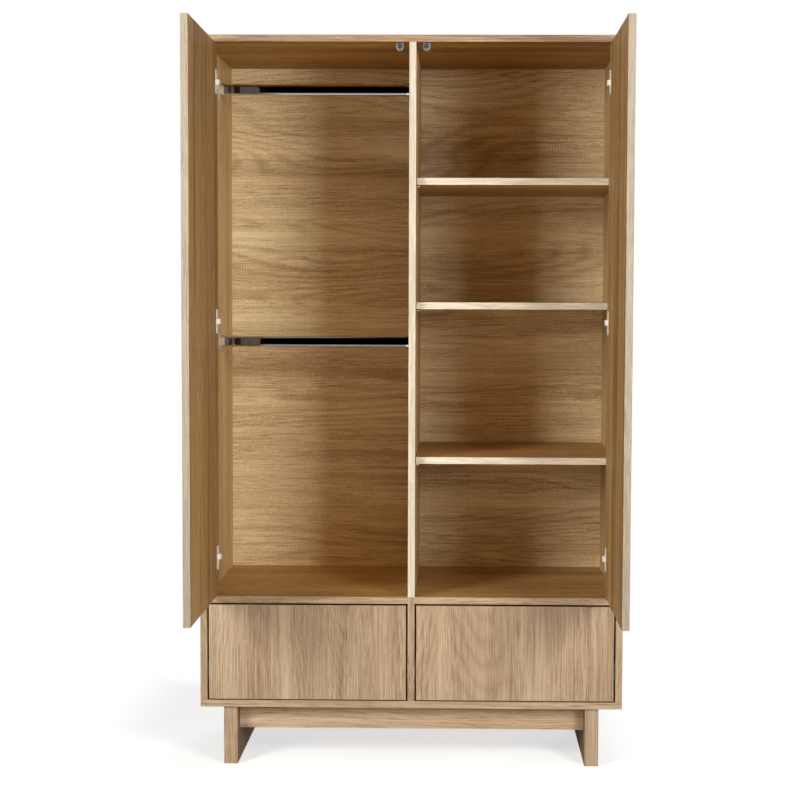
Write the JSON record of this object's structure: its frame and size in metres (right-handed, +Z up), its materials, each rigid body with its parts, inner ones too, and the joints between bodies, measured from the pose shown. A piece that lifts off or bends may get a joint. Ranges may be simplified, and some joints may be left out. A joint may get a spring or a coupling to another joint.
{
  "type": "wardrobe with doors",
  "caption": "Free-standing oak-decor wardrobe with inset swing doors, hanging rails, shelves and inset drawers on board legs.",
  "frame": {"origin": "on the floor, in the middle of the box that the wardrobe fills with both doors open at 90 degrees", "axes": "+Z up, front faces -Y, +X to the right as seen from the front"},
  "size_m": [1.1, 1.0676, 1.89],
  "materials": {
    "oak_board": "satin oak decor, fine grain",
    "oak_back": "satin oak decor, grain across",
    "drawer_box_board": "satin oak decor",
    "dowel_wood": "bare beech",
    "rail_chrome": "polished",
    "hinge_nickel": "nickel plated",
    "runner_steel": "zinc plated",
    "screw_steel": "zinc plated",
    "latch_grey": "grey satin",
    "plunger_grey": "grey, matte",
    "pin_nickel": "nickel plated"
  },
  "bodies": {
    "carcass": {"top_panel": "oak_board", "bottom_panel": "oak_board", "left_side_panel": "oak_board", "right_side_panel": "oak_board", "centre_divider": "oak_board", "left_fixed_shelf": "oak_board", "right_fixed_shelf": "oak_board", "left_back_panel": "oak_back", "right_back_panel": "oak_back", "lower_shelf": "oak_board", "middle_shelf": "oak_board", "upper_shelf": "oak_board", "shelf_pins": "pin_nickel", "lower_hanging_rail": "rail_chrome", "upper_hanging_rail": "rail_chrome", "rail_brackets": "rail_chrome", "fitting_screws": "screw_steel", "left_leg": "oak_board", "right_leg": "oak_board", "front_base_rail": "oak_board", "rear_base_rail": "oak_board", "leg_screws": "screw_steel", "carcass_dowels": "dowel_wood", "hinge_arms": "hinge_nickel", "hinge_plates": "hinge_nickel", "left_latch_housing": "latch_grey", "right_latch_housing": "latch_grey", "drawer_push_catches": "latch_grey", "left_drawer_runner_rails": "runner_steel", "right_drawer_runner_rails": "runner_steel"},
    "left_door": {"left_door_panel": "oak_board", "left_hinge_cups": "hinge_nickel", "left_hinge_pins": "screw_steel", "left_hinge_cup_screws": "screw_steel", "left_strike_plate": "hinge_nickel"},
    "left_drawer": {"left_drawer_front": "oak_board", "left_drawer_left_side": "drawer_box_board", "left_drawer_right_side": "drawer_box_board", "left_drawer_back": "drawer_box_board", "left_drawer_bottom": "drawer_box_board", "left_drawer_dowels": "dowel_wood", "left_drawer_screws": "screw_steel", "left_drawer_runner_carriages": "runner_steel"},
    "left_runner": {"left_drawer_runner_slides": "runner_steel"},
    "left_latch": {"left_latch_plunger": "plunger_grey"},
    "right_door": {"right_door_panel": "oak_board", "right_hinge_cups": "hinge_nickel", "right_hinge_pins": "screw_steel", "right_hinge_cup_screws": "screw_steel", "right_strike_plate": "hinge_nickel"},
    "right_drawer": {"right_drawer_front": "oak_board", "right_drawer_left_side": "drawer_box_board", "right_drawer_right_side": "drawer_box_board", "right_drawer_back": "drawer_box_board", "right_drawer_bottom": "drawer_box_board", "right_drawer_dowels": "dowel_wood", "right_drawer_screws": "screw_steel", "right_drawer_runner_carriages": "runner_steel"},
    "right_runner": {"right_drawer_runner_slides": "runner_steel"},
    "right_latch": {"right_latch_plunger": "plunger_grey"}
  },
  "joints": [
    {"name": "left_door_swing", "type": "hinge", "parent": "carcass", "child": "left_door", "pos_m": [-0.513, -0.0328, 1.1585], "axis": [0, 0, 1], "range_deg": [-5, 90]},
    {"name": "left_drawer_slide", "type": "slide", "parent": "carcass", "child": "left_drawer", "axis": [0, -1, 0], "range_m": [-0.003, 0.4]},
    {"name": "left_runner_slide", "type": "slide", "parent": "carcass", "child": "left_runner", "axis": [0, -1, 0], "range_m": [-0.0015, 0.2]},
    {"name": "left_latch_push", "type": "slide", "parent": "carcass", "child": "left_latch", "axis": [0, 1, 0], "range_m": [-0.001, 0.012]},
    {"name": "right_door_swing", "type": "hinge", "parent": "carcass", "child": "right_door", "pos_m": [0.513, -0.0328, 1.1585], "axis": [0, 0, -1], "range_deg": [-5, 90]},
    {"name": "right_drawer_slide", "type": "slide", "parent": "carcass", "child": "right_drawer", "axis": [0, -1, 0], "range_m": [-0.003, 0.4]},
    {"name": "right_runner_slide", "type": "slide", "parent": "carcass", "child": "right_runner", "axis": [0, -1, 0], "range_m": [-0.0015, 0.2]},
    {"name": "right_latch_push", "type": "slide", "parent": "carcass", "child": "right_latch", "axis": [0, 1, 0], "range_m": [-0.001, 0.012]}
  ],
  "couplings": [
    {"joint": "left_runner_slide", "follows": "left_drawer_slide", "ratio": 0.5},
    {"joint": "left_latch_push", "follows": "left_door_swing", "m_per_rad": 0.0074485},
    {"joint": "right_runner_slide", "follows": "right_drawer_slide", "ratio": 0.5},
    {"joint": "right_latch_push", "follows": "right_door_swing", "m_per_rad": 0.0074485}
  ]
}
